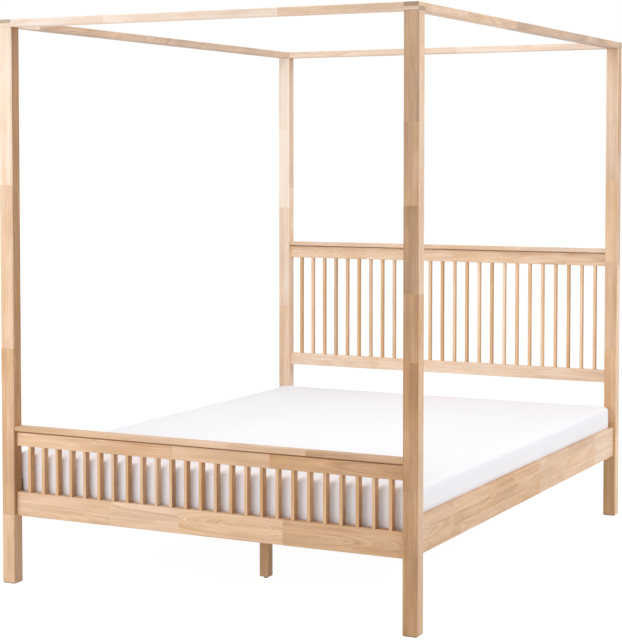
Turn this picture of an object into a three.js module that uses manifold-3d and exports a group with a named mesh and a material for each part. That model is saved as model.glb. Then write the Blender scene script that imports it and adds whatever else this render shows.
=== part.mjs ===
// Wooden four-post canopy bed with slatted ends, a slatted base and a loose mattress.
// Millimetres, Z up. The origin is on the floor under the middle of the bed, and the head end is at +Y.
import * as THREE from 'three';
import { mergeVertices } from 'three/addons/utils/BufferGeometryUtils.js';
import Module from 'manifold-3d';

// Whole bed
const bedWidth = 1590;
const bedLength = 2140;
const bedHeight = 1980;

// Fits and cuts
const fitGap = 0.3;
const cutOverrun = 3;

// Posts
const postSide = 50;
const postEase = 2;
const footChamfer = 4;

// Canopy rails, half-lapped at the corners and bolted down into the posts
const canopyRailHeight = 26;
const canopyRailEase = 1.5;
const canopyBoltDiameter = 8;
const canopyBoltHeadDiameter = 16;
const canopyBoltHeadHeight = 6;
const canopyBoltHeadRecess = 2;
const canopyBoltBite = 42;
const socketAcrossCorners = 7;
const socketDepth = 4;

// Head and foot panels between the posts
const capThickness = 17;
const capDepth = 43;
const capSetback = 7;
const capEase = 2;
const panelRailSetback = 20;
const panelRailEase = 1.5;
const revealDepth = 5;
const panelSlatCount = 25;
const panelSlatWidth = 12;
const panelSlatEase = 1;
const panelSlatHousing = 10;
const tenonLength = 20;
const tenonThickness = 12;
const tenonShoulder = 9;
const footPanel = {
  name: 'footboard',
  top: 558,
  topRailHeight: 53,
  revealHeight: 6,
  bottomRailTop: 325,
  bottomRailHeight: 85,
  railThickness: 30,
  slatDepth: 25,
};
const headPanel = {
  name: 'headboard',
  top: 1120,
  topRailHeight: 55,
  revealHeight: 4,
  bottomRailTop: 609,
  bottomRailHeight: 52,
  railThickness: 24,
  slatDepth: 18,
};

// Side rails and the cross rail at the head
const sideRailHeight = 120;
const sideRailThickness = 22;
const sideRailBottom = 253;
const sideRailInset = 9;
const crossRailHeight = 85;
const crossRailThickness = 22;
const crossRailBottom = 240;
const boardEase = 1.5;

// Hook and keeper plates that join the side rails to the posts
const plateWidth = 16;
const plateHeight = 96;
const plateThickness = 2.5;
const plateCornerRadius = 4;
const hookThickness = 3.5;
const hookNeckHeight = 9;
const hookLipDrop = 7;
const hookLipThickness = 4;
const hookPitch = 50;
const slotPlay = 1;
const pocketPlay = 2;

// Slatted base
const ledgerWidth = 20;
const ledgerHeight = 24;
const ledgerLift = 5;
const ledgerEndGap = 6;
const baseSlatCount = 14;
const baseSlatWidth = 70;
const baseSlatThickness = 18;
const baseSlatSideGap = 2;
const baseSlatEndGap = 8;
const baseSlatEase = 2;

// Centre beam, its hangers and its legs
const beamWidth = 35;
const beamHeight = 38;
const hangerThickness = 2.5;
const hangerDepth = 32;
const hangerTopDrop = 1;
const centreLegSide = 35;
const centreLegEase = 1.5;
const centreLegFromEnd = 485;
const legPlateLength = 74;
const legPlateWidth = 34;
const legPlateThickness = 3;
const legStudDiameter = 8;
const legStudBite = 28;
const legStudRise = 20;

// Levelling glides under the centre legs
const glideDiameter = 16;
const glidePadHeight = 5;
const glideEdgeRadius = 1.5;
const glideStandoff = 2;
const glideStemDiameter = 8;
const glideStemLength = 32;
const glideBoreSpare = 3;

// Mattress
const mattressThickness = 163;
const mattressSideGap = 2;
const mattressEndGap = 5;
const mattressCornerRadius = 40;
const mattressEdgeRadius = 26;
const mattressCrown = 7;
const mattressDrawIn = 4;

// Sizes that follow from the ones above
const halfWidth = bedWidth / 2;
const halfLength = bedLength / 2;
const innerWidth = bedWidth - 2 * postSide;
const innerLength = bedLength - 2 * postSide;
const postCentreX = halfWidth - postSide / 2;
const postCentreY = halfLength - postSide / 2;
const postTop = bedHeight - canopyRailHeight - fitGap;
const lapHeight = canopyRailHeight / 2;
const sideRailInnerX = halfWidth - sideRailInset - sideRailThickness;
const sideRailCentreX = sideRailInnerX + sideRailThickness / 2;
const ledgerTop = sideRailBottom + ledgerLift + ledgerHeight;
const baseSlatTop = ledgerTop + fitGap + baseSlatThickness;
const beamBottom = ledgerTop - beamHeight;
const legPlateBottom = beamBottom - fitGap - legPlateThickness;
const centreLegBottom = glidePadHeight + glideStandoff;
const centreLegTop = legPlateBottom - fitGap;
const centreLegY = halfLength - centreLegFromEnd;
const plateMiddle = sideRailBottom + sideRailHeight / 2;
const hookNeck = plateThickness + 2 * fitGap;
const hookReach = hookNeck + hookLipThickness;

// Finishes
const frameWood = new THREE.MeshStandardMaterial({ color: 0xdcbb98, roughness: 0.55, metalness: 0 });
const baseWood = new THREE.MeshStandardMaterial({ color: 0xe0caa6, roughness: 0.7, metalness: 0 });
const steel = new THREE.MeshStandardMaterial({ color: 0x9a9c9e, roughness: 0.35, metalness: 1 });
const blackPlastic = new THREE.MeshStandardMaterial({ color: 0x1b1b1c, roughness: 0.6, metalness: 0 });
const whiteCloth = new THREE.MeshStandardMaterial({ color: 0xf1f1f3, roughness: 0.95, metalness: 0 });

const wasm = await Module();
wasm.setup();

const bed = new THREE.Group();

// A closed geometry as a solid that can be cut and joined
function solidOf(geometry) {
  const bare = geometry.index ? geometry.toNonIndexed() : geometry.clone();
  bare.deleteAttribute('normal');
  bare.deleteAttribute('uv');
  const merged = mergeVertices(bare);
  const vertProperties = new Float32Array(merged.attributes.position.array);
  const triVerts = new Uint32Array(merged.index.array);
  return new wasm.Manifold(new wasm.Mesh({ numProp: 3, vertProperties, triVerts }));
}

// A cut or joined solid as a geometry
function geometryOf(solid) {
  const mesh = solid.getMesh();
  const geometry = new THREE.BufferGeometry();
  geometry.setAttribute('position', new THREE.BufferAttribute(new Float32Array(mesh.vertProperties), 3));
  geometry.setIndex(new THREE.BufferAttribute(new Uint32Array(mesh.triVerts), 1));
  geometry.computeVertexNormals();
  return geometry;
}

function addPiece(name, geometry, material, position = [0, 0, 0], parent = bed) {
  const piece = new THREE.Mesh(geometry, material);
  piece.name = name;
  piece.position.set(...position);
  parent.add(piece);
  return piece;
}

// A box between any two opposite corners
function boxBetween(corner, opposite) {
  const size = corner.map((value, axis) => Math.abs(opposite[axis] - value));
  const middle = corner.map((value, axis) => (opposite[axis] + value) / 2);
  return solidOf(new THREE.BoxGeometry(...size).translate(...middle));
}

// An upright round bar or hole on the line through x and y
function roundBetween(x, y, low, high, diameter, sides = 24) {
  const cylinder = new THREE.CylinderGeometry(diameter / 2, diameter / 2, high - low, sides);
  return solidOf(cylinder.rotateX(Math.PI / 2).translate(x, y, (low + high) / 2));
}

// A rectangle with its four corners planed off, from the origin to width and height
function easedRectangle(width, height, ease) {
  const outline = new THREE.Shape();
  outline.moveTo(ease, 0);
  outline.lineTo(width - ease, 0);
  outline.lineTo(width, ease);
  outline.lineTo(width, height - ease);
  outline.lineTo(width - ease, height);
  outline.lineTo(ease, height);
  outline.lineTo(0, height - ease);
  outline.lineTo(0, ease);
  outline.closePath();
  return outline;
}

// Boards run along one axis, and are placed by the corner with the lowest coordinates
function boardAlongX([x, y, z], length, depth, height, ease) {
  const board = new THREE.ExtrudeGeometry(easedRectangle(depth, height, ease), {
    depth: length,
    bevelEnabled: false,
  });
  return solidOf(board.rotateX(Math.PI / 2).rotateZ(Math.PI / 2).translate(x, y, z));
}

function boardAlongY([x, y, z], length, width, height, ease) {
  const board = new THREE.ExtrudeGeometry(easedRectangle(width, height, ease), {
    depth: length,
    bevelEnabled: false,
  });
  return solidOf(board.rotateX(Math.PI / 2).translate(x, y + length, z));
}

function boardAlongZ([x, y, z], length, width, depth, ease) {
  const board = new THREE.ExtrudeGeometry(easedRectangle(width, depth, ease), {
    depth: length,
    bevelEnabled: false,
  });
  return solidOf(board.translate(x, y, z));
}

// Four posts. Each is mortised for the panel rails on its inner face, recessed for a keeper plate
// on the face that the side rail meets, and bored at the top for the canopy bolt.
function tenonsOf(panel) {
  const topRailTop = panel.top - capThickness - fitGap;
  const middleY = panelRailSetback + panel.railThickness / 2;
  return [
    { low: topRailTop - panel.topRailHeight, high: topRailTop - panel.revealHeight, middleY },
    { low: panel.bottomRailTop - panel.bottomRailHeight, high: panel.bottomRailTop, middleY },
  ];
}

const crossRailTenon = {
  low: crossRailBottom,
  high: crossRailBottom + crossRailHeight,
  middleY: panelRailSetback + crossRailThickness / 2,
};

function postSolid(sideX, endY, tenons) {
  const frontY = endY > 0 ? halfLength - postSide : -halfLength;
  const leftX = sideX > 0 ? halfWidth - postSide : -halfWidth;
  const centreX = sideX * postCentreX;
  let post = boardAlongZ([leftX, frontY, 0], postTop, postSide, postSide, postEase);

  // The foot chamfer is what a square pyramid leaves of the lowest part of the post
  const reach = postSide / 2 + cutOverrun;
  const rise = reach - (postSide / 2 - footChamfer);
  const taper = new THREE.CylinderGeometry(Math.SQRT2 * reach, Math.SQRT2 * (reach - rise), rise, 4, 1);
  const foot = solidOf(
    taper.rotateY(Math.PI / 4).rotateX(Math.PI / 2).translate(centreX, frontY + postSide / 2, rise / 2),
  );
  const upper = boxBetween(
    [centreX - reach, frontY - cutOverrun, rise - fitGap],
    [centreX + reach, frontY + postSide + cutOverrun, bedHeight],
  );
  post = post.intersect(foot.add(upper));

  const innerX = sideX * (halfWidth - postSide);
  for (const tenon of tenons) {
    const deepX = innerX + sideX * (tenonLength + 2 * fitGap);
    const openX = innerX - sideX * cutOverrun;
    const half = tenonThickness / 2 + fitGap;
    post = post.subtract(
      boxBetween(
        [deepX, frontY + tenon.middleY - half, tenon.low + tenonShoulder - fitGap],
        [openX, frontY + tenon.middleY + half, tenon.high - tenonShoulder + fitGap],
      ),
    );
  }

  const faceY = endY * (halfLength - postSide);
  const seatY = faceY + endY * (plateThickness + fitGap);
  const pocketY = faceY + endY * (hookReach + pocketPlay);
  const openY = faceY - endY * cutOverrun;
  const railX = sideX * sideRailCentreX;
  const seat = plateSolid(plateWidth + 2 * fitGap, plateHeight + 2 * fitGap, Math.abs(seatY - openY));
  post = post.subtract(seat.translate([railX, (seatY + openY) / 2, plateMiddle]));
  const pocketHalf = hookThickness / 2 + pocketPlay;
  for (const hookZ of hookHeights()) {
    post = post.subtract(
      boxBetween(
        [railX - pocketHalf, openY, hookZ - hookLipDrop - pocketPlay],
        [railX + pocketHalf, pocketY, hookZ + hookNeckHeight + hookLipDrop + pocketPlay],
      ),
    );
  }
  const bore = canopyBoltDiameter + 2 * fitGap;
  const boreDepth = canopyBoltBite + fitGap;
  const centreY = frontY + postSide / 2;
  return post.subtract(roundBetween(centreX, centreY, postTop - boreDepth, postTop + cutOverrun, bore));
}

// The underside of each hook's neck, measured from the floor
function hookHeights() {
  return [-1, 1].map((side) => plateMiddle + (side * hookPitch) / 2 - hookNeckHeight / 2);
}

// A thin steel plate with round corners, standing in the XZ plane with its middle at the origin
function plateSolid(width, height, thickness) {
  const radius = plateCornerRadius;
  const outline = new THREE.Shape();
  outline.absarc(width / 2 - radius, height / 2 - radius, radius, 0, Math.PI / 2);
  outline.absarc(radius - width / 2, height / 2 - radius, radius, Math.PI / 2, Math.PI);
  outline.absarc(radius - width / 2, radius - height / 2, radius, Math.PI, 1.5 * Math.PI);
  outline.absarc(width / 2 - radius, radius - height / 2, radius, 1.5 * Math.PI, 2 * Math.PI);
  const plate = new THREE.ExtrudeGeometry(outline, {
    depth: thickness,
    bevelEnabled: false,
    curveSegments: 4,
  });
  return solidOf(plate.rotateX(Math.PI / 2).translate(0, thickness / 2, 0));
}

for (const [endName, endY, panel] of [['front', -1, footPanel], ['back', 1, headPanel]]) {
  const tenons = endY > 0 ? [...tenonsOf(panel), crossRailTenon] : tenonsOf(panel);
  for (const [sideName, sideX] of [['left', -1], ['right', 1]]) {
    addPiece(`post_${endName}_${sideName}`, geometryOf(postSolid(sideX, endY, tenons)), frameWood);
  }
}

// Canopy frame. The long rails keep the upper half of each corner lap, the short rails the lower.
function boltHoles(solid, centres) {
  const hole = canopyBoltDiameter + 2 * fitGap;
  const counterbore = canopyBoltHeadDiameter + 2 * fitGap;
  const seatZ = bedHeight - canopyBoltHeadRecess - canopyBoltHeadHeight - fitGap;
  for (const [x, y] of centres) {
    solid = solid.subtract(roundBetween(x, y, postTop, bedHeight + cutOverrun, hole));
    solid = solid.subtract(roundBetween(x, y, seatZ, bedHeight + cutOverrun, counterbore));
  }
  return solid;
}

const canopyBottom = bedHeight - canopyRailHeight;
const lapMiddle = bedHeight - lapHeight;
for (const [sideName, sideX] of [['left', -1], ['right', 1]]) {
  const leftX = sideX > 0 ? halfWidth - postSide : -halfWidth;
  const corner = [leftX, -halfLength, canopyBottom];
  let rail = boardAlongY(corner, bedLength, postSide, canopyRailHeight, canopyRailEase);
  for (const endY of [-1, 1]) {
    const shoulderY = endY * (halfLength - postSide - fitGap);
    const outerY = endY * (halfLength + cutOverrun);
    rail = rail.subtract(
      boxBetween(
        [leftX - cutOverrun, shoulderY, canopyBottom - cutOverrun],
        [leftX + postSide + cutOverrun, outerY, lapMiddle + fitGap / 2],
      ),
    );
  }
  const centres = [-1, 1].map((endY) => [sideX * postCentreX, endY * postCentreY]);
  addPiece(`canopy_rail_${sideName}`, geometryOf(boltHoles(rail, centres)), frameWood);
}
for (const [endName, endY] of [['front', -1], ['back', 1]]) {
  const frontY = endY > 0 ? halfLength - postSide : -halfLength;
  const corner = [-halfWidth, frontY, canopyBottom];
  let rail = boardAlongX(corner, bedWidth, postSide, canopyRailHeight, canopyRailEase);
  for (const sideX of [-1, 1]) {
    const shoulderX = sideX * (halfWidth - postSide - fitGap);
    const outerX = sideX * (halfWidth + cutOverrun);
    rail = rail.subtract(
      boxBetween(
        [shoulderX, frontY - cutOverrun, lapMiddle - fitGap / 2],
        [outerX, frontY + postSide + cutOverrun, bedHeight + cutOverrun],
      ),
    );
  }
  const centres = [-1, 1].map((sideX) => [sideX * postCentreX, endY * postCentreY]);
  addPiece(`canopy_rail_${endName}`, geometryOf(boltHoles(rail, centres)), frameWood);
}

// A socket-head bolt stands in each corner, its head sunk below the top of the canopy
function canopyBolt() {
  const headTop = -canopyBoltHeadRecess;
  const headBottom = headTop - canopyBoltHeadHeight;
  const tip = -canopyRailHeight - canopyBoltBite;
  const shankRadius = canopyBoltDiameter / 2;
  const headRadius = canopyBoltHeadDiameter / 2;
  const profile = [
    [0, tip],
    [shankRadius / 2, tip],
    [shankRadius, tip + shankRadius / 2],
    [shankRadius, headBottom],
    [headRadius, headBottom],
    [headRadius, headTop],
    [0, headTop],
  ].map(([radius, height]) => new THREE.Vector2(radius, height));
  const turned = solidOf(new THREE.LatheGeometry(profile, 16).rotateX(Math.PI / 2));
  const socket = roundBetween(0, 0, headTop - socketDepth, headTop + cutOverrun, socketAcrossCorners, 6);
  return geometryOf(turned.subtract(socket));
}

for (const [endName, endY] of [['front', -1], ['back', 1]]) {
  for (const [sideName, sideX] of [['left', -1], ['right', 1]]) {
    const place = [sideX * postCentreX, endY * postCentreY, bedHeight];
    addPiece(`canopy_bolt_${endName}_${sideName}`, canopyBolt(), steel, place);
  }
}

// Head and foot panels. Each stands in a group whose origin is on the front faces of its two posts.
// The rails run between the posts, tenoned into them, and the slats are housed in the rails.
function railWithTenons(low, high, thickness, ease, tenonHigh = high) {
  const railHalf = innerWidth / 2 - fitGap;
  const middleY = panelRailSetback + thickness / 2;
  const corner = [-railHalf, panelRailSetback, low];
  const rail = boardAlongX(corner, 2 * railHalf, thickness, high - low, ease);
  const tenon = boxBetween(
    [-railHalf - tenonLength, middleY - tenonThickness / 2, low + tenonShoulder],
    [railHalf + tenonLength, middleY + tenonThickness / 2, tenonHigh - tenonShoulder],
  );
  return rail.add(tenon);
}

function panelSlatPlaces() {
  const gap = (innerWidth - panelSlatCount * panelSlatWidth) / (panelSlatCount + 1);
  const first = -innerWidth / 2 + gap;
  return Array.from({ length: panelSlatCount }, (_, slat) => first + slat * (gap + panelSlatWidth));
}

function topRail(panel) {
  const high = panel.top - capThickness - fitGap;
  const low = high - panel.topRailHeight;
  const slatY = panelRailSetback + (panel.railThickness - panel.slatDepth) / 2;
  let rail = railWithTenons(low, high, panel.railThickness, panelRailEase, high - panel.revealHeight);
  rail = rail.subtract(
    boxBetween(
      [-innerWidth / 2, panelRailSetback - cutOverrun, high - panel.revealHeight],
      [innerWidth / 2, panelRailSetback + revealDepth, high + cutOverrun],
    ),
  );
  for (const x of panelSlatPlaces()) {
    rail = rail.subtract(
      boxBetween(
        [x - fitGap, slatY - fitGap, low - cutOverrun],
        [x + panelSlatWidth + fitGap, slatY + panel.slatDepth + fitGap, low + panelSlatHousing + fitGap],
      ),
    );
  }
  return rail;
}

function slattedBottom(panel) {
  const low = panel.bottomRailTop - panel.bottomRailHeight;
  const slatY = panelRailSetback + (panel.railThickness - panel.slatDepth) / 2;
  const topRailLow = panel.top - capThickness - fitGap - panel.topRailHeight;
  const slatTop = topRailLow + panelSlatHousing;
  let panelSolid = railWithTenons(low, panel.bottomRailTop, panel.railThickness, panelRailEase);
  for (const x of panelSlatPlaces()) {
    const root = panel.bottomRailTop - panelSlatHousing;
    const corner = [x, slatY, root];
    panelSolid = panelSolid.add(
      boardAlongZ(corner, slatTop - root, panelSlatWidth, panel.slatDepth, panelSlatEase),
    );
  }
  return panelSolid;
}

for (const [endY, panel] of [[-1, footPanel], [1, headPanel]]) {
  const frame = new THREE.Group();
  frame.position.set(0, endY > 0 ? halfLength - postSide : -halfLength, 0);
  bed.add(frame);
  const capHalf = innerWidth / 2 - fitGap;
  const capCorner = [-capHalf, capSetback, panel.top - capThickness];
  const cap = boardAlongX(capCorner, 2 * capHalf, capDepth, capThickness, capEase);
  addPiece(`${panel.name}_cap`, geometryOf(cap), frameWood, [0, 0, 0], frame);
  addPiece(`${panel.name}_top_rail`, geometryOf(topRail(panel)), frameWood, [0, 0, 0], frame);
  addPiece(`${panel.name}_slatted_rail`, geometryOf(slattedBottom(panel)), frameWood, [0, 0, 0], frame);
}

// Cross rail low between the back posts, which carries the head end of the centre beam
const crossRailGroup = new THREE.Group();
crossRailGroup.position.set(0, halfLength - postSide, 0);
bed.add(crossRailGroup);
const crossRail = railWithTenons(
  crossRailTenon.low,
  crossRailTenon.high,
  crossRailThickness,
  boardEase,
);
addPiece('head_cross_rail', geometryOf(crossRail), frameWood, [0, 0, 0], crossRailGroup);

// Side rails, recessed at each end for a hook plate
const sideRailHalf = innerLength / 2 - fitGap;
for (const [sideName, sideX] of [['left', -1], ['right', 1]]) {
  const lowX = sideX * sideRailCentreX - sideRailThickness / 2;
  const corner = [lowX, -sideRailHalf, sideRailBottom];
  let rail = boardAlongY(corner, 2 * sideRailHalf, sideRailThickness, sideRailHeight, boardEase);
  for (const endY of [-1, 1]) {
    const seatDepth = plateThickness + fitGap;
    const seat = plateSolid(plateWidth + 2 * fitGap, plateHeight + 2 * fitGap, seatDepth + cutOverrun);
    const seatY = endY * (sideRailHalf - seatDepth + (seatDepth + cutOverrun) / 2);
    rail = rail.subtract(seat.translate([sideX * sideRailCentreX, seatY, plateMiddle]));
  }
  addPiece(`side_rail_${sideName}`, geometryOf(rail), frameWood);
}

// Hook plate: a flat plate with two hooks that drop through the keeper and hang on its slots
function hookPlate() {
  let plate = plateSolid(plateWidth, plateHeight, plateThickness);
  const face = plateThickness / 2;
  const back = face + hookNeck;
  const tip = face + hookReach;
  const round = hookLipThickness / 2;
  for (const hookZ of hookHeights()) {
    const low = hookZ - plateMiddle;
    const high = low + hookNeckHeight;
    const outline = new THREE.Shape();
    outline.moveTo(0, low);
    outline.lineTo(back, low);
    outline.lineTo(back, low - hookLipDrop);
    outline.lineTo(tip - round, low - hookLipDrop);
    outline.lineTo(tip, low - hookLipDrop + round);
    outline.lineTo(tip, high - round);
    outline.lineTo(tip - round, high);
    outline.lineTo(0, high);
    outline.closePath();
    const hook = new THREE.ExtrudeGeometry(outline, { depth: hookThickness, bevelEnabled: false });
    hook.rotateX(Math.PI / 2).rotateZ(-Math.PI / 2).translate(hookThickness / 2, 0, 0);
    plate = plate.add(solidOf(hook));
  }
  return plate;
}

// Keeper plate: flush in the post, with a slot for each hook
function keeperPlate() {
  let plate = plateSolid(plateWidth, plateHeight, plateThickness);
  const slotHalf = hookThickness / 2 + slotPlay / 2;
  for (const hookZ of hookHeights()) {
    const z = hookZ - plateMiddle;
    const top = z + hookNeckHeight + hookLipDrop + slotPlay;
    plate = plate.subtract(
      boxBetween([-slotHalf, -cutOverrun, z - fitGap], [slotHalf, cutOverrun, top]),
    );
  }
  return plate;
}

for (const [endName, endY] of [['front', -1], ['back', 1]]) {
  for (const [sideName, sideX] of [['left', -1], ['right', 1]]) {
    const x = sideX * sideRailCentreX;
    const hookY = endY * (sideRailHalf - plateThickness / 2);
    const hook = addPiece(
      `hook_plate_${endName}_${sideName}`,
      geometryOf(hookPlate()),
      steel,
      [x, hookY, plateMiddle],
    );
    hook.rotation.z = endY > 0 ? Math.PI : 0;
    const keeperY = endY * (innerLength / 2 + plateThickness / 2);
    addPiece(
      `keeper_plate_${endName}_${sideName}`,
      geometryOf(keeperPlate()),
      steel,
      [x, keeperY, plateMiddle],
    );
  }
}

// Ledgers along the inside of the side rails, and the slats that lie across them
for (const [sideName, sideX] of [['left', -1], ['right', 1]]) {
  const outerX = sideX * (sideRailInnerX - fitGap);
  const lowX = Math.min(outerX, outerX - sideX * ledgerWidth);
  const corner = [lowX, -innerLength / 2 + ledgerEndGap, sideRailBottom + ledgerLift];
  const length = innerLength - 2 * ledgerEndGap;
  const ledger = boardAlongY(corner, length, ledgerWidth, ledgerHeight, boardEase);
  addPiece(`slat_ledger_${sideName}`, geometryOf(ledger), baseWood);
}

const baseSlatHalf = sideRailInnerX - baseSlatSideGap;
const baseSlatSpan = innerLength - 2 * baseSlatEndGap - baseSlatWidth;
for (let slat = 0; slat < baseSlatCount; slat += 1) {
  const lowY = -innerLength / 2 + baseSlatEndGap + (slat * baseSlatSpan) / (baseSlatCount - 1);
  const corner = [-baseSlatHalf, lowY, ledgerTop + fitGap];
  const board = boardAlongX(corner, 2 * baseSlatHalf, baseSlatWidth, baseSlatThickness, baseSlatEase);
  addPiece(`base_slat_${String(slat + 1).padStart(2, '0')}`, geometryOf(board), baseWood);
}

// Centre beam under the slats, bored for the studs of its two legs
const footRailBackY = -halfLength + panelRailSetback + footPanel.railThickness;
const crossRailFrontY = halfLength - postSide + panelRailSetback;
const beamFrontY = footRailBackY + hangerThickness + 2 * fitGap;
const beamBackY = crossRailFrontY - hangerThickness - 2 * fitGap;
const beamCorner = [-beamWidth / 2, beamFrontY, beamBottom];
let beam = boardAlongY(beamCorner, beamBackY - beamFrontY, beamWidth, beamHeight, boardEase);
const studBore = legStudDiameter + 2 * fitGap;
for (const endY of [-1, 1]) {
  const y = endY * centreLegY;
  const boreTop = legPlateBottom + legStudRise + fitGap;
  beam = beam.subtract(roundBetween(0, y, beamBottom - cutOverrun, boreTop, studBore));
}
addPiece('centre_beam', geometryOf(beam), baseWood);

// Steel hanger: a folded stirrup, open at the top, that the end of the beam drops into
function hangerSolid() {
  const outerHalf = beamWidth / 2 + fitGap + hangerThickness;
  const innerHalf = beamWidth / 2 + fitGap;
  const floor = beamBottom - fitGap;
  const shell = boxBetween(
    [-outerHalf, 0, floor - hangerThickness],
    [outerHalf, hangerDepth, ledgerTop - hangerTopDrop],
  );
  return shell.subtract(
    boxBetween(
      [-innerHalf, hangerThickness, floor],
      [innerHalf, hangerDepth + cutOverrun, ledgerTop + cutOverrun],
    ),
  );
}

addPiece('beam_hanger_front', geometryOf(hangerSolid()), steel, [0, footRailBackY + fitGap, 0]);
const backHanger = addPiece(
  'beam_hanger_back',
  geometryOf(hangerSolid()),
  steel,
  [0, crossRailFrontY - fitGap, 0],
);
backHanger.rotation.z = Math.PI;

// Centre legs: plate under the beam, stud through it, square leg, levelling glide in its foot
function centreLeg() {
  const corner = [-centreLegSide / 2, -centreLegSide / 2, centreLegBottom];
  const length = centreLegTop - centreLegBottom;
  let leg = boardAlongZ(corner, length, centreLegSide, centreLegSide, centreLegEase);
  const topBore = centreLegTop - legStudBite - fitGap;
  leg = leg.subtract(roundBetween(0, 0, topBore, centreLegTop + cutOverrun, studBore));
  const stemBore = glideStemDiameter + 2 * fitGap;
  const stemTop = glidePadHeight + glideStemLength + glideBoreSpare;
  return leg.subtract(roundBetween(0, 0, centreLegBottom - cutOverrun, stemTop, stemBore));
}

function legPlate() {
  const plate = boxBetween(
    [-legPlateWidth / 2, -legPlateLength / 2, legPlateBottom],
    [legPlateWidth / 2, legPlateLength / 2, legPlateBottom + legPlateThickness],
  );
  const top = legPlateBottom + legPlateThickness + cutOverrun;
  return plate.subtract(roundBetween(0, 0, legPlateBottom - cutOverrun, top, studBore));
}

function levellingGlide() {
  const padRadius = glideDiameter / 2;
  const stemRadius = glideStemDiameter / 2;
  const stemTop = glidePadHeight + glideStemLength;
  const profile = [
    [0, 0],
    [padRadius - glideEdgeRadius, 0],
    [padRadius, glideEdgeRadius],
    [padRadius, glidePadHeight - glideEdgeRadius],
    [padRadius - glideEdgeRadius, glidePadHeight],
    [stemRadius, glidePadHeight],
    [stemRadius, stemTop - stemRadius / 2],
    [stemRadius / 2, stemTop],
    [0, stemTop],
  ].map(([radius, height]) => new THREE.Vector2(radius, height));
  return geometryOf(solidOf(new THREE.LatheGeometry(profile, 16).rotateX(Math.PI / 2)));
}

for (const [endName, endY] of [['front', -1], ['back', 1]]) {
  const place = [0, endY * centreLegY, 0];
  addPiece(`leg_plate_${endName}`, geometryOf(legPlate()), steel, place);
  const studLow = centreLegTop - legStudBite;
  const stud = roundBetween(0, 0, studLow, legPlateBottom + legStudRise, legStudDiameter, 16);
  addPiece(`leg_stud_${endName}`, geometryOf(stud), steel, place);
  addPiece(`centre_leg_${endName}`, geometryOf(centreLeg()), frameWood, place);
  addPiece(`levelling_glide_${endName}`, levellingGlide(), blackPlastic, place);
}

// Mattress: a plain block with round corners, rounded edges, a low crown and sides that draw in
// towards its top and bottom faces. Rings of points run up the side and in to the middle of each face.
function mattressGeometry() {
  const halfX = sideRailInnerX - mattressSideGap;
  const halfY = innerLength / 2 - mattressEndGap;
  const cornerSteps = 5;
  const sideSteps = 5;
  const edgeSteps = 4;
  const faceShares = [0.92, 0.75, 0.5, 0.25];

  // One quarter of the outline: part of a long side, the corner, and part of a short side
  function outlinePoint(share) {
    const turn = share * 4;
    const quarter = Math.floor(turn) % 4;
    const along = turn - Math.floor(turn);
    const [a, b] = quarter % 2 === 0 ? [halfX, halfY] : [halfY, halfX];
    const steps = 2 * sideSteps + cornerSteps;
    const step = along * steps;
    let point;
    if (step < sideSteps) {
      point = [a, ((b - mattressCornerRadius) * step) / sideSteps];
    } else if (step < sideSteps + cornerSteps) {
      const angle = ((step - sideSteps) / cornerSteps) * (Math.PI / 2);
      point = [
        a - mattressCornerRadius * (1 - Math.cos(angle)),
        b - mattressCornerRadius * (1 - Math.sin(angle)),
      ];
    } else {
      const left = 1 - (step - sideSteps - cornerSteps) / sideSteps;
      point = [(a - mattressCornerRadius) * left, b];
    }
    const angle = (quarter * Math.PI) / 2;
    return [
      point[0] * Math.cos(angle) - point[1] * Math.sin(angle),
      point[0] * Math.sin(angle) + point[1] * Math.cos(angle),
    ];
  }

  const columns = 4 * (2 * sideSteps + cornerSteps);
  const outline = Array.from({ length: columns }, (_, column) => outlinePoint(column / columns));

  // Each level has a height, an inset from the widest outline, and a share of the way to the middle
  const middle = mattressThickness / 2;
  const levels = [];
  for (const share of [...faceShares].reverse()) {
    levels.push({ height: 0, inset: mattressEdgeRadius, share });
  }
  for (let step = 0; step <= edgeSteps; step += 1) {
    const angle = (step / edgeSteps) * (Math.PI / 2);
    levels.push({
      height: mattressEdgeRadius * (1 - Math.cos(angle)),
      inset: mattressEdgeRadius * (1 - Math.sin(angle)),
      share: 1,
    });
  }
  levels.push({ height: middle, inset: 0, share: 1 });
  for (let step = edgeSteps; step >= 0; step -= 1) {
    const angle = (step / edgeSteps) * (Math.PI / 2);
    levels.push({
      height: mattressThickness - mattressCrown - mattressEdgeRadius * (1 - Math.cos(angle)),
      inset: mattressEdgeRadius * (1 - Math.sin(angle)),
      share: 1,
    });
  }
  for (const share of faceShares) {
    const height = mattressThickness - mattressCrown * share ** 2;
    levels.push({ height, inset: mattressEdgeRadius, share });
  }

  const positions = [];
  for (const { height, inset, share } of levels) {
    const drawIn = mattressDrawIn * ((height - middle) / middle) ** 2;
    const scaleX = ((halfX - inset - drawIn) / halfX) * share;
    const scaleY = ((halfY - inset - drawIn) / halfY) * share;
    for (const [x, y] of outline) positions.push(x * scaleX, y * scaleY, height);
  }
  const bottomCentre = positions.length / 3;
  positions.push(0, 0, 0);
  const topCentre = positions.length / 3;
  positions.push(0, 0, mattressThickness);

  const triangles = [];
  const last = levels.length - 1;
  for (let column = 0; column < columns; column += 1) {
    const next = (column + 1) % columns;
    for (let level = 0; level < last; level += 1) {
      const here = level * columns;
      const above = here + columns;
      triangles.push(here + column, here + next, above + next);
      triangles.push(here + column, above + next, above + column);
    }
    triangles.push(bottomCentre, next, column);
    triangles.push(topCentre, last * columns + column, last * columns + next);
  }
  const geometry = new THREE.BufferGeometry();
  geometry.setAttribute('position', new THREE.Float32BufferAttribute(positions, 3));
  geometry.setIndex(triangles);
  geometry.computeVertexNormals();
  return geometry;
}

addPiece('mattress', mattressGeometry(), whiteCloth, [0, 0, baseSlatTop + fitGap]);

export default bed;
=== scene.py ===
import math
import random

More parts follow.
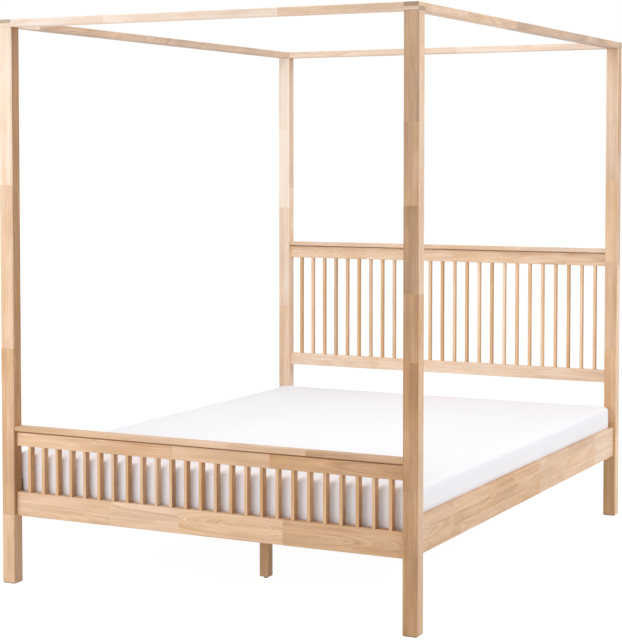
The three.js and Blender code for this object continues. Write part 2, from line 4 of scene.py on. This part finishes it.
import bmesh
import bpy
from mathutils import Matrix, Vector


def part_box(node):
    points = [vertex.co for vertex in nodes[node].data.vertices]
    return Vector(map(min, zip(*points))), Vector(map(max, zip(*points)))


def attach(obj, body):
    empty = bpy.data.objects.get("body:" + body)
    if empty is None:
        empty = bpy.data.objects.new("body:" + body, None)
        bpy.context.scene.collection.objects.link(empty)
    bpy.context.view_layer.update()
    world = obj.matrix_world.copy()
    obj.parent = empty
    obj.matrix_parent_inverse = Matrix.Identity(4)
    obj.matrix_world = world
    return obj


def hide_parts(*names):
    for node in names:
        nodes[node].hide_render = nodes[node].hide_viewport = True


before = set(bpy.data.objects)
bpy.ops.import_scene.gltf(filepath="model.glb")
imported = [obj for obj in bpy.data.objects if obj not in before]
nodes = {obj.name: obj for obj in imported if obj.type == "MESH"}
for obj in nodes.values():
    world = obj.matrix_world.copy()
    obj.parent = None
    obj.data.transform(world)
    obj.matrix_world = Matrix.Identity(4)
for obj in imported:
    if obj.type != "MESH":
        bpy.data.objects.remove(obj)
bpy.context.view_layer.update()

# Camera: stands about five metres off the foot end, to the right of the bed and at about shoulder
# height, and looks slightly down through a long lens.
image_width, image_height = 622, 640
camera_place = (2.9218, -6.0134, 1.4939)
camera_turn = math.radians(26.8)
camera_tilt = math.radians(2.65)
focal_pixels = 1740.15
sensor_width = 36.0
frame_shift = -0.125
camera_data = bpy.data.cameras.new("camera")
camera_data.sensor_width = sensor_width
camera_data.lens = focal_pixels * sensor_width / max(image_width, image_height)
camera_data.shift_y = frame_shift
camera_data.clip_end = 100.0
camera = bpy.data.objects.new("camera", camera_data)
camera.location = camera_place
camera.rotation_euler = (math.pi / 2 - camera_tilt, 0.0, camera_turn)
bpy.context.scene.collection.objects.link(camera)
bpy.context.scene.camera = camera
bpy.context.scene.view_settings.view_transform = "Standard"


# Studio: a white floor that takes a faint shadow, a white surround, and three softboxes: two slightly
# warm ones, low in front of the foot end and on the right, and a plain one overhead.
class Signal:
    """A socket in a shader tree. Arithmetic on it adds Math nodes."""

    def __init__(self, tree, socket=None):
        self.tree = tree
        self.socket = socket

    def node(self, kind, settings=None, inputs=None, output=0):
        """Adds any node: its settings first, then the values or links of its sockets."""
        made = self.tree.nodes.new("ShaderNode" + kind)
        for name, value in (settings or {}).items():
            if name == "stops":
                ramp = made.color_ramp
                while len(ramp.elements) < len(value):
                    ramp.elements.new(1.0)
                for element, (position, colour) in zip(ramp.elements, value):
                    element.position = position
                    element.color = colour
            elif name == "interpolation":
                made.color_ramp.interpolation = value
            else:
                setattr(made, name, value)
        for name, value in (inputs or {}).items():
            if isinstance(value, Signal):
                self.tree.links.new(value.socket, made.inputs[name])
            else:
                made.inputs[name].default_value = value
        return Signal(self.tree, made.outputs[output] if len(made.outputs) else None)

    def __getitem__(self, output):
        """Another output of the same node."""
        return Signal(self.tree, self.socket.node.outputs[output])

    def math(self, operation, *others):
        """A Math node with this socket as its first value."""
        values = dict(enumerate((self, *others)))
        return self.node("Math", {"operation": operation}, values)

    def flipped(self, operation, other):
        """A Math node with this socket as its second value."""
        return self.node("Math", {"operation": operation}, {0: other, 1: self})

    def __add__(self, other):
        return self.math("ADD", other)

    def __radd__(self, other):
        return self.flipped("ADD", other)

    def __sub__(self, other):
        return self.math("SUBTRACT", other)

    def __rsub__(self, other):
        return self.flipped("SUBTRACT", other)

    def __mul__(self, other):
        return self.math("MULTIPLY", other)

    def __rmul__(self, other):
        return self.flipped("MULTIPLY", other)

    def __truediv__(self, other):
        return self.math("DIVIDE", other)

    def __rtruediv__(self, other):
        return self.flipped("DIVIDE", other)

    def __gt__(self, other):
        return self.math("GREATER_THAN", other)

    def between(self, low, high):
        """0 up to low, 1 from high on, and a straight climb between them."""
        return self.node("MapRange", {}, {0: self, 1: low, 2: high, 3: 0.0, 4: 1.0})

    def mixed(self, first, second):
        """Two colours mixed by this factor."""
        settings = {"data_type": "RGBA", "clamp_factor": True}
        return self.node("Mix", settings, {0: self, 6: first, 7: second}, 2)


def new_material(name):
    material = bpy.data.materials.new(name)
    material.use_nodes = True
    material.node_tree.nodes.clear()
    return material, Signal(material.node_tree)


def srgb(red, green, blue):
    """A colour written as it looks on screen, 0 to 255, for a shader."""
    shares = (value / 255 for value in (red, green, blue))
    linear = [s / 12.92 if s <= 0.04045 else ((s + 0.055) / 1.055) ** 2.4 for s in shares]
    return (*linear, 1.0)


def seen_directly(blank):
    """1 for what the camera sees itself, in a reflection or through glass, and 0 for light."""
    path = blank.node("LightPath")
    seen = path["Is Camera Ray"].math("MAXIMUM", path["Is Glossy Ray"])
    return seen.math("MAXIMUM", path["Is Transmission Ray"])


full_white = (1.0, 1.0, 1.0, 1.0)
matt_white = (0.88, 0.88, 0.88, 1.0)
glow_strength = 1.12
glow_share = 0.85
world_light = 0.62
floor_size = 60.0
floor_drop = 0.0004
floor_mesh = bpy.data.meshes.new("floor")
half = floor_size / 2
floor_mesh.from_pydata(
    [(x, y, -floor_drop) for x, y in ((-half, -half), (half, -half), (half, half), (-half, half))],
    [],
    [(0, 1, 2, 3)],
)
floor = bpy.data.objects.new("floor", floor_mesh)
bpy.context.scene.collection.objects.link(floor)
floor_paint, blank = new_material("floor_paint")
matt = blank.node("BsdfDiffuse", {}, {"Color": matt_white})
glow = blank.node("Emission", {}, {"Color": full_white, "Strength": glow_strength})
surface = blank.node("MixShader", {}, {0: seen_directly(blank) * glow_share, 1: matt, 2: glow})
blank.node("OutputMaterial", {}, {"Surface": surface})
floor.data.materials.append(floor_paint)

world = bpy.data.worlds.new("studio")
bpy.context.scene.world = world
world.use_nodes = True
world.node_tree.nodes.clear()
sky = Signal(world.node_tree)
lit = sky.node("Background", {}, {"Color": full_white, "Strength": world_light})
white = sky.node("Background", {}, {"Color": full_white, "Strength": 1.0})
surround = sky.node("MixShader", {}, {0: seen_directly(sky), 1: lit, 2: white})
sky.node("OutputWorld", {}, {"Surface": surround})


def add_softbox(name, place, aim, size, power, colour):
    """A square lamp at place that faces aim."""
    lamp = bpy.data.lights.new(name, "AREA")
    lamp.shape = "SQUARE"
    lamp.size = size
    lamp.energy = power
    lamp.color = colour
    holder = bpy.data.objects.new(name, lamp)
    holder.location = place
    holder.rotation_euler = (Vector(aim) - Vector(place)).to_track_quat("-Z", "Y").to_euler()
    holder.visible_camera = False
    bpy.context.scene.collection.objects.link(holder)


add_softbox(
    "front_softbox",
    place=(-1.3, -3.9, 1.2),
    aim=(0.0, 0.0, 0.5),
    size=2.0,
    power=41.0,
    colour=(1.0, 0.985, 0.965),
)
add_softbox(
    "right_softbox",
    place=(4.5, 0.6, 2.6),
    aim=(0.0, 0.0, 1.0),
    size=2.6,
    power=66.0,
    colour=(1.0, 0.985, 0.96),
)
add_softbox(
    "top_softbox",
    place=(0.0, -0.4, 3.4),
    aim=(0.0, 0.0, 0.0),
    size=2.4,
    power=33.0,
    colour=(1.0, 1.0, 1.0),
)


# Posts: four square lengths of pale hardwood, each glued up from a thin ply at its front and a thick
# one behind it. Both are joined end to end from shorter pieces, so tone and figure change along a
# post. The front ply gives the front face its tone and the back ply most of the side faces, so their
# difference is partly the wood's own tone and partly painted shade, faces made lighter or darker
# after how the light falls on them. It is planed, sanded and finished with a satin oil.
rings_a_metre = 330.0
plain_contrast = 0.3
lean_contrast = 3.0
ramp_places = (0.0, 0.3, 0.6, 1.0)
pinkish_wood = [srgb(246, 232, 221), srgb(231, 207, 188), srgb(208, 182, 161), srgb(166, 140, 122)]
golden_wood = [srgb(246, 220, 189), srgb(231, 190, 148), srgb(208, 163, 117), srgb(166, 121, 80)]
soaked_wood = srgb(112, 90, 74)


def faces_along(at, axis):
    """1 on the faces that look along an axis, either way, and 0 on the others."""
    least_share = 0.7
    normal = at.node("TexCoord", {}, {}, "Normal")
    return at.node("SeparateXYZ", {}, {0: normal})[axis].math("ABSOLUTE") > least_share


def grain(at, order, centre, tone, hue, pith):
    """Colour and height of solid wood. order names the axis that the grain runs along, the axis of
    the board's width and the axis of its thickness. tone goes from pale to dark and hue from pinkish
    to golden. The annual rings lie round a pith line that passes at across and depth from the
    board's centre, and its lean draws arches on the wide face."""
    place = at.node("SeparateXYZ", {}, {0: at})
    u, v, w = (place[axis] for axis in order)
    middle_v, middle_w = (centre["XYZ".index(axis)] for axis in order[1:])
    across, depth, lean = pith
    # Staves that differ in tone or hue get different parts of the noise.
    own = tone * 83.0 + hue * 29.0

    def noise(lengthwise, crosswise, detail):
        """From -0.5 to 0.5, with so many marks a metre along and across the grain."""
        parts = {0: u * lengthwise + own, 1: v * crosswise, 2: w * crosswise}
        stretched = at.node("CombineXYZ", {}, parts)
        return at.node("TexNoise", {}, {"Vector": stretched, "Scale": 1.0, "Detail": detail}) - 0.5

    side = v - middle_v - across
    deep = w - middle_w + depth + u * lean
    radius = (side * side + deep * deep).math("SQRT") + noise(2.2, 13.0, 2.0) * 0.02
    bands = {"W": radius * rings_a_metre + own, "Scale": 1.0, "Detail": 2.0}
    rings = at.node("TexNoise", {"noise_dimensions": "1D"}, bands) - 0.5
    figure = rings * (lean.math("ABSOLUTE") * lean_contrast + plain_contrast)
    streaks = noise(1.2, 75.0, 2.0) * 0.4
    fibre = noise(9.0, 330.0, 3.0)
    cloud = noise(5.0, 26.0, 3.0) * 0.6 + noise(1.3, 7.0, 1.0) * 0.3
    fleck = noise(30.0, 260.0, 1.0).between(0.17, 0.27)
    pore = noise(90.0, 1500.0, 1.0).between(0.13, 0.24)
    end_grain = faces_along(at, order[0])
    darkness = tone + figure + streaks + cloud + fibre * 0.16 + fleck * 0.2 + pore * 0.1
    darkness = darkness + end_grain * 0.3
    pinks, golds = (
        at.node("ValToRGB", {"stops": list(zip(ramp_places, colours))}, {0: darkness})
        for colours in (pinkish_wood, golden_wood)
    )
    warmth = hue + noise(0.9, 5.0, 1.0) * 0.8 + noise(6.0, 40.0, 1.0) * 0.5 - end_grain * 0.1
    height = fibre * 0.5 - pore * 0.7 - figure * 0.3
    # End grain soaks up the oil, and shows it more where a stave is dark.
    soaked = end_grain * tone
    return soaked.mixed(warmth.mixed(pinks, golds), soaked_wood), height


draw = random.Random(11)
pith_ranges = ((-0.05, 0.05), (0.02, 0.08), (-0.06, 0.06))
pith_shifts = (1, 2, 1)


def stave_pattern(at, axis, low, high, staves):
    """The looks (tone and hue) and the pith (across, depth and lean) of the staves that lie end to
    end along an axis, as two colours. A stave is its start in metres, its tone, its hue and, where
    its figure matters, its pith. The pith of the others is drawn at random. The shifts keep a pith's
    numbers above 0 in its colour."""
    looks, piths = [], []
    for start, tone, hue, *pith in staves:
        drawn = [draw.uniform(*limits) for limits in pith_ranges]
        across, depth, lean = pith or drawn
        share = max(0.0, (start - low) / (high - low))
        looks.append((share, (tone, hue, 0.0, 1.0)))
        at_origin = (across, depth - lean * start, lean)
        shifted = [number + shift for number, shift in zip(at_origin, pith_shifts)]
        piths.append((share, (*shifted, 1.0)))
    share = (at.node("SeparateXYZ", {}, {0: at})[axis] - low) / (high - low)
    return [
        at.node("ValToRGB", {"stops": stops, "interpolation": "CONSTANT"}, {0: share})
        for stops in (looks, piths)
    ]


def stave_parts(looks, piths):
    """Tone, hue and pith as numbers again."""
    look = looks.node("SeparateColor", {}, {0: looks})
    pith = piths.node("SeparateColor", {}, {0: piths})
    numbers = [pith[name] - shift for name, shift in zip(("Red", "Green", "Blue"), pith_shifts)]
    return look["Red"], look["Green"], numbers


def add_surface(at, sockets):
    """Gives a material its surface, from the values and links of its shader's sockets."""
    at.node("OutputMaterial", {}, {"Surface": at.node("BsdfPrincipled", {}, sockets)})


def add_oiled_surface(at, colour, height):
    """A satin oil finish on sanded wood."""
    bump = at.node("Bump", {}, {"Strength": 0.35, "Distance": 0.0004, "Height": height})
    sockets = {"Base Color": colour, "Specular IOR Level": 0.35, "Normal": bump}
    add_surface(at, {**sockets, "Roughness": 0.5 - height * 0.05})


# How much darker the painted shade in a top rail's reveal is.
painted_reveal_shade = 0.8


def board_wood(node, order, *rows, reveal=0.0):
    """Wood for a board glued up from one or more rows of staves, side by side across its width. A
    reveal along its top edge gets painted shade: its band is made darker in the colour."""
    low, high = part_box(node)
    along, wide = ("XYZ".index(axis) for axis in order[:2])
    material, blank = new_material(node + "_wood")
    at = blank.node("TexCoord", {}, {}, "Object")
    width_at = at.node("SeparateXYZ", {}, {0: at})[order[1]]
    looks, piths = stave_pattern(at, order[0], low[along], high[along], rows[0])
    for row, staves in enumerate(rows[1:], 1):
        if staves is rows[row - 1]:
            continue
        beyond = width_at > low[wide] + (high[wide] - low[wide]) * row / len(rows)
        next_looks, next_piths = stave_pattern(at, order[0], low[along], high[along], staves)
        looks, piths = beyond.mixed(looks, next_looks), beyond.mixed(piths, next_piths)
    tone, hue, pith = stave_parts(looks, piths)
    if reveal:
        # Painted shade: the reveal's band along the top edge, under the cap, is darkened in the
        # colour.
        tone = tone + (width_at > high[wide] - reveal) * painted_reveal_shade
    colour, height = grain(at, order, (low + high) / 2, tone, hue, pith)
    add_oiled_surface(at, colour, height)
    return material


joint_spread = 0.2
hue_spread = 0.1


def drawn_staves(board_end, zones, tone_spread=0.05, stave_length=0.4):
    """Staves for a board. A zone of it is a start, a tone and a hue on the whole, and the joints,
    tones and hues inside it are drawn at random. A zone that also gives its pith is a single
    stave."""
    staves = []
    ends = [zone[0] for zone in zones[1:]] + [board_end]
    for (start, tone, hue, *pith), end in zip(zones, ends):
        count = 1 if pith else max(1, round((end - start) / stave_length))
        for step in range(count):
            wander = draw.uniform(-joint_spread, joint_spread) * (step > 0)
            joint = start + (end - start) * (step + wander) / count
            stave_tone = tone + draw.uniform(-tone_spread, tone_spread)
            stave_hue = hue + draw.uniform(-hue_spread, hue_spread)
            staves.append((joint, stave_tone, stave_hue, *pith))
    return staves


# Each post has the zones of its front ply and then those of its back ply. Their tones differ partly
# by painted shade on the front and side faces.
post_zones = {
    "front_left": (
        [(0.0, 0.4, 0.6), (0.24, 0.6, 0.8), (0.83, 0.4, 0.6), (1.4, 0.2, 0.4)],
        [(0.0, 0.4, 0.7), (0.24, 0.9, 0.9), (1.4, 1.0, 0.9)],
    ),
    "front_right": (
        [(0.0, 0.8, 0.9), (0.857, 0.8, 0.7), (1.075, 0.9, 0.7), (1.345, 0.7, 0.5)],
        [(0.0, 0.5, 0.6), (1.075, 0.3, 0.4)],
    ),
    "back_left": (
        [(0.0, 0.3, 0.6), (0.82, 0.2, 0.4), (1.27, 0.0, 0.2)],
        [(0.0, 0.3, 0.6), (1.36, 0.5, 0.4)],
    ),
    "back_right": (
        [(0.0, 0.5, 0.9), (0.7, 0.5, 0.6), (1.4, 0.4, 0.4)],
        [(0.0, 0.3, 0.6), (1.05, 0.7, 0.4)],
    ),
}
back_ply_rows = 6
post_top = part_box("post_front_left")[1].z
for place, plies in post_zones.items():
    front_ply, back_ply = (drawn_staves(post_top, zones) for zones in plies)
    node = "post_" + place
    rows = [front_ply] + [back_ply] * back_ply_rows
    nodes[node].data.materials[0] = board_wood(node, "ZYX", *rows)


# Canopy: four flat rails, half-lapped at the corners so that end grain shows there, and drawn down
# on the post tops by a sunk socket-head bolt at each corner.
canopy_zones = {
    "left": [(-1.07, 0.3, 0.1), (-0.9, 0.7, 0.2)],
    "right": [(-1.07, 0.4, 0.5), (-0.2, 0.7, 0.3)],
    "front": [(-0.795, 0.1, 0.0), (0.3, 0.4, 0.4)],
    "back": [(-0.795, 0.3, 0.0)],
}
for name, zones in canopy_zones.items():
    node = "canopy_rail_" + name
    order = "XZY" if name in ("front", "back") else "YZX"
    staves = drawn_staves(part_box(node)[1]["XYZ".index(order[0])], zones)
    nodes[node].data.materials[0] = board_wood(node, order, staves)

steel_finish, blank = new_material("zinc_plated_steel")
at = blank.node("TexCoord", {}, {}, "Object")
brushing_at = at.node("VectorMath", {"operation": "MULTIPLY"}, {0: at, 1: (900.0, 900.0, 60.0)})
brushing = at.node("TexNoise", {}, {"Vector": brushing_at, "Scale": 1.0, "Detail": 2.0})
stain = at.node("TexNoise", {}, {"Vector": at, "Scale": 40.0, "Detail": 3.0})
steel_colour = stain.mixed(srgb(176, 178, 180), srgb(205, 206, 206))
steel_bump = at.node("Bump", {}, {"Strength": 0.2, "Distance": 0.0001, "Height": brushing})
steel_roughness = brushing * 0.2 + 0.28
steel = {"Base Color": steel_colour, "Metallic": 1.0, "Roughness": steel_roughness}
add_surface(at, {**steel, "Normal": steel_bump})
for place in post_zones:
    nodes["canopy_bolt_" + place].data.materials[0] = steel_finish


# Footboard and headboard: a cap, a top rail and a bottom rail of the same hardwood, the rails tenoned
# into the posts, with upright slats let into both. A cross rail lies below the headboard. The grain
# runs lengthwise in rails and caps and upright in the slats.
slat_count = 25
slat_width = 0.012
between_posts = 1.49
slat_gap = (between_posts - slat_count * slat_width) / (slat_count + 1)
slat_pitch = slat_gap + slat_width
# How much darker the painted shade on the slats' narrow side faces is.
painted_slat_side_shade = 0.25
slat_seed = 3.0
seam_lift = 0.0002
cross_rail_end = 0.765
bottom_rail_tops = {"footboard": 0.325, "headboard": 0.609}


def comb_wood(node, rail_top, staves, slat_tone, slat_spread):
    """Wood for a bottom rail and its slats: rail grain below rail_top, upright grain above it."""
    low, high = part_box(node)
    material, blank = new_material(node + "_wood")
    at = blank.node("TexCoord", {}, {}, "Object")
    place = at.node("SeparateXYZ", {}, {0: at})
    tone, hue, pith = stave_parts(*stave_pattern(at, "X", low.x, high.x, staves))
    middle = Vector((0.0, (low.y + high.y) / 2, (low.z + rail_top) / 2))
    rail_colour, rail_height = grain(at, "XZY", middle, tone, hue, pith)
    number = ((place["X"] + (between_posts - slat_gap) / 2) / slat_pitch).math("FLOOR")
    chance = at.node("TexWhiteNoise", {"noise_dimensions": "1D"}, {"W": number + slat_seed}, "Color")
    chances = at.node("SeparateColor", {}, {0: chance})
    narrow_side = faces_along(at, "X")
    tone = chances["Red"] * (2 * slat_spread) + (slat_tone - slat_spread)
    # Painted shade: the slats' narrow side faces are made darker in the colour.
    tone = tone + narrow_side * painted_slat_side_shade
    hue = chances["Blue"] * 0.6 + 0.6
    pith = (chances["Green"] * 3.0, chances["Blue"] * 0.1 + 0.02, chances["Green"] * 0.06 - 0.03)
    foot = Vector((0.0, middle.y, 0.0))
    slat_colour, slat_height = grain(at, "ZXY", foot, tone, hue, pith)
    upright = place["Z"] > rail_top + seam_lift
    colour = upright.mixed(rail_colour, slat_colour)
    add_oiled_surface(at, colour, rail_height + upright * (slat_height - rail_height))
    return material


panel_zones = {
    "footboard_cap": [(-0.745, 0.5, 0.7), (-0.31, 0.5, 0.6), (0.4, 0.7, 0.8)],
    "footboard_top_rail": [(-0.765, 0.5, 0.7), (0.26, 0.7, 0.9)],
    "footboard_slatted_rail": [
        (-0.765, 0.5, 0.7),
        (-0.364, 0.4, 0.6),
        (-0.085, 0.5, 0.7, 0.008, 0.05, -0.14),
        (0.309, 0.6, 0.8, -0.008, 0.0125, 0.08),
    ],
    "headboard_cap": [(-0.745, 0.4, 0.4)],
    "headboard_top_rail": [(-0.765, 0.3, 0.6)],
    "headboard_slatted_rail": [(-0.765, 0.2, 0.5), (0.42, 0.3, 0.5)],
}
panel_staves = {node: drawn_staves(between_posts / 2, zones) for node, zones in panel_zones.items()}
# Heights of the bands of painted shade in the top rails' reveals.
painted_shadow_lines = {"footboard": 0.006, "headboard": 0.004}
for name, slat_tone, slat_spread in (("footboard", 0.5, 0.1), ("headboard", 0.3, 0.2)):
    node = name + "_cap"
    nodes[node].data.materials[0] = board_wood(node, "XYZ", panel_staves[node])
    node = name + "_top_rail"
    material = board_wood(node, "XZY", panel_staves[node], reveal=painted_shadow_lines[name])
    nodes[node].data.materials[0] = material
    node = name + "_slatted_rail"
    rail_top = bottom_rail_tops[name]
    staves = panel_staves[node]
    nodes[node].data.materials[0] = comb_wood(node, rail_top, staves, slat_tone, slat_spread)

staves = drawn_staves(cross_rail_end, [(-cross_rail_end, 0.4, 0.4)])
nodes["head_cross_rail"].data.materials[0] = board_wood("head_cross_rail", "XZY", staves)


# Side rails: wide boards glued up from three rows of short staves. A steel hook plate on each end
# hangs in the slots of a keeper plate let into the post.
rail_end = 1.02
rail_rows = 3
rail_zones = {
    "left": [(-rail_end, 0.4, 0.5)],
    "right": [(-rail_end, 0.5, 0.7), (0.1, 0.4, 0.5), (0.77, 0.3, 0.4)],
}
for side, zones in rail_zones.items():
    node = "side_rail_" + side
    rows = [
        drawn_staves(rail_end, zones, tone_spread=0.07, stave_length=0.28)
        for row in range(rail_rows)
    ]
    nodes[node].data.materials[0] = board_wood(node, "YZX", *rows)

for place in post_zones:
    for name in ("hook_plate_", "keeper_plate_"):
        nodes[name + place].data.materials[0] = steel_finish


# Base: cross slats lie on a ledger inside each side rail and on a centre beam, which hangs in steel
# hangers. Ledgers, slats and beam are planed softwood, left unfinished.
base_slat_count = 14
base_slat_end = 0.77
softwood_tone, softwood_hue = 0.3, 0.5
for node in ("slat_ledger_left", "slat_ledger_right", "centre_beam"):
    zones = [(-rail_end, softwood_tone, softwood_hue)]
    staves = drawn_staves(rail_end, zones, tone_spread=0.04, stave_length=1.2)
    nodes[node].data.materials[0] = board_wood(node, "YZX", staves)
for number in range(1, base_slat_count + 1):
    node = f"base_slat_{number:02d}"
    zones = [(-base_slat_end, softwood_tone, softwood_hue)]
    staves = drawn_staves(base_slat_end, zones, stave_length=3.0)
    nodes[node].data.materials[0] = board_wood(node, "XYZ", staves)


# Centre legs: square hardwood legs under the beam, each with a steel plate and stud above and a
# black plastic glide on a thread below.
for place in ("front", "back"):
    node = "centre_leg_" + place
    nodes[node].data.materials[0] = board_wood(node, "ZXY", [(0.0, 0.5, 0.9)])
    for name in ("beam_hanger_", "leg_plate_", "leg_stud_"):
        nodes[name + place].data.materials[0] = steel_finish

plastic, blank = new_material("black_plastic")
at = blank.node("TexCoord", {}, {}, "Object")
pebble = at.node("TexNoise", {}, {"Vector": at, "Scale": 900.0, "Detail": 2.0})
plastic_bump = at.node("Bump", {}, {"Strength": 0.25, "Distance": 0.0002, "Height": pebble})
plastic_colour = pebble.mixed(srgb(24, 24, 25), srgb(36, 36, 37))
plastic_roughness = pebble * 0.2 + 0.4
plastic_sockets = {"Base Color": plastic_colour, "Roughness": plastic_roughness}
add_surface(at, {**plastic_sockets, "Normal": plastic_bump})
for place in ("front", "back"):
    nodes["levelling_glide_" + place].data.materials[0] = plastic


# Mattress: a foam block in a plain white knitted cover, loose on the slats between the rails. Its
# corners and edges are rounded, its sides fill out a little, and above the rails' tops it hangs over
# them.
def padded_block(name, low, high, corner, edge, pitches):
    """A box with rounded upright corners and rounded edges, cut evenly along each axis."""
    size = high - low
    straight = [length / 2 - corner for length in size.xy]
    half_height = size.z / 2
    counts = [max(2, round(length / step)) for length, step in zip(size, pitches)]
    mesh = bmesh.new()
    bmesh.ops.create_cube(mesh, size=1.0)
    bmesh.ops.scale(mesh, vec=size, verts=mesh.verts)
    for axis, count in enumerate(counts):
        for step in range(1, count):
            offset = -size[axis] / 2 + size[axis] * step / count
            plane_at = Vector([offset if i == axis else 0.0 for i in range(3)])
            normal = Vector([1.0 if i == axis else 0.0 for i in range(3)])
            bmesh.ops.bisect_plane(
                mesh,
                geom=[*mesh.verts, *mesh.edges, *mesh.faces],
                plane_co=plane_at,
                plane_no=normal,
            )
    for vert in mesh.verts:
        core = [max(-limit, min(limit, place)) for place, limit in zip(vert.co.xy, straight)]
        reach = Vector((vert.co.x - core[0], vert.co.y - core[1]))
        if reach.length > 0:
            reach = reach.normalized() * max(abs(reach.x), abs(reach.y))
        outward = max(0.0, reach.length - (corner - edge))
        upward = max(0.0, abs(vert.co.z) - (half_height - edge))
        turn = Vector((outward, upward))
        if turn.length > 0:
            turn = turn.normalized() * max(turn)
            if outward > 0:
                reach = reach.normalized() * (corner - edge + turn.x)
            if upward > 0:
                vert.co.z = math.copysign(half_height - edge + turn.y, vert.co.z)
        vert.co.x = core[0] + reach.x
        vert.co.y = core[1] + reach.y
    made = bpy.data.meshes.new(name)
    mesh.to_mesh(made)
    mesh.free()
    block = bpy.data.objects.new(name, made)
    made.transform(Matrix.Translation((low + high) / 2))
    bpy.context.scene.collection.objects.link(block)
    return block


def swell(block, pressure, frames, most):
    """Fills a block like a cushion by cloth simulation. Its underside stays, and no point moves by
    more than the given distance."""
    mesh = block.data
    before = [vert.co.copy() for vert in mesh.vertices]
    held_below = min(place.z for place in before) + 0.001
    held = block.vertex_groups.new(name="held")
    held.add([i for i, place in enumerate(before) if place.z < held_below], 1.0, "REPLACE")
    cloth = block.modifiers.new("cloth", "CLOTH")
    cloth.settings.use_pressure = True
    cloth.settings.uniform_pressure_force = pressure
    cloth.settings.effector_weights.gravity = 0.0
    cloth.settings.vertex_group_mass = "held"
    for number in range(1, frames + 1):
        bpy.context.scene.frame_set(number)
    posed = block.evaluated_get(bpy.context.evaluated_depsgraph_get())
    after = [vert.co.copy() for vert in posed.data.vertices]
    block.modifiers.remove(cloth)
    block.vertex_groups.remove(held)
    bpy.context.scene.frame_set(1)
    for vert, start, end in zip(mesh.vertices, before, after):
        move = end - start
        vert.co = start + move * min(1.0, most / max(move.length, most))


def settle(block, space_low, space_high, rail_top, overhang):
    """Fits a block to its space between the rails, round the middle of the bed. Above the rails' top
    edges it spreads over them, and what hangs over sits just clear of those edges."""
    above_rail = 0.0015
    lowest_border = 0.012
    spread_start, spread_run = 0.68, 0.07
    for axis in (0, 1):
        widest = max(abs(vert.co[axis]) for vert in block.data.vertices)
        for vert in block.data.vertices:
            vert.co[axis] *= space_high[axis] / widest
    for vert in block.data.vertices:
        vert.co.y = max(space_low.y, min(space_high.y, vert.co.y))
        vert.co.z = max(space_low.z, min(space_high.z, vert.co.z))
        outward = abs(vert.co.x)
        spread = max(0.0, min(1.0, (outward - spread_start) / spread_run)) * overhang
        if vert.co.z > rail_top:
            outward += spread
            if outward > space_high.x:
                vert.co.z = max(vert.co.z, rail_top + above_rail)
                if vert.co.z < rail_top + lowest_border:
                    vert.co.z = rail_top + above_rail
        else:
            outward = min(outward, space_high.x)
        vert.co.x = math.copysign(min(outward, space_high.x + overhang), vert.co.x)


mattress_low, mattress_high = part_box("mattress")
allowance = Vector((0.003, 0.003, 0.004))
start_low = mattress_low + Vector((allowance.x, allowance.y, 0.0))
start_high = mattress_high - allowance
pitches = (0.03, 0.03, 0.0125)
mattress = padded_block(
    "mattress_cover", start_low, start_high, corner=0.03, edge=0.02, pitches=pitches
)
swell(mattress, pressure=4.0, frames=20, most=0.008)
clearance = Vector((0.0012, 0.0032, 0.0))
crown = Vector((0.0, 0.0, 0.004))
rail_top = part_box("side_rail_right")[1].z
space_high = mattress_high + clearance + crown
settle(mattress, mattress_low - clearance, space_high, rail_top, overhang=0.0125)
for polygon in mattress.data.polygons:
    polygon.use_smooth = True
smoothing = mattress.modifiers.new("smoothing", "SUBSURF")
smoothing.levels = smoothing.render_levels = 1

cover, blank = new_material("knitted_cover")
at = blank.node("TexCoord", {}, {}, "Object")
knit = at.node("TexNoise", {}, {"Vector": at, "Scale": 700.0, "Detail": 2.0})
ripple = at.node("TexNoise", {}, {"Vector": at, "Scale": 6.0, "Detail": 2.0})
face = at.node("TexCoord", {}, {}, "Normal")
# Painted shade: the cover's sloping and upright faces take a slightly darker colour than its top.
upward = at.node("SeparateXYZ", {}, {0: face})["Z"].between(0.1, 0.9)
top = ripple.mixed(srgb(243, 243, 248), srgb(246, 246, 251))
shaded_border = ripple.mixed(srgb(239, 239, 245), srgb(242, 242, 248))
cover_bump = at.node("Bump", {}, {"Strength": 0.3, "Distance": 0.0004, "Height": knit})
matt_fabric = {"Roughness": 0.9, "Specular IOR Level": 0.2, "Sheen Weight": 0.15}
cover_colour = upward.mixed(shaded_border, top)
add_surface(at, {**matt_fabric, "Base Color": cover_colour, "Normal": cover_bump})
mattress.data.materials.append(cover)
nodes["mattress"].data.materials[0] = cover
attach(mattress, "mattress")
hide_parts("mattress")
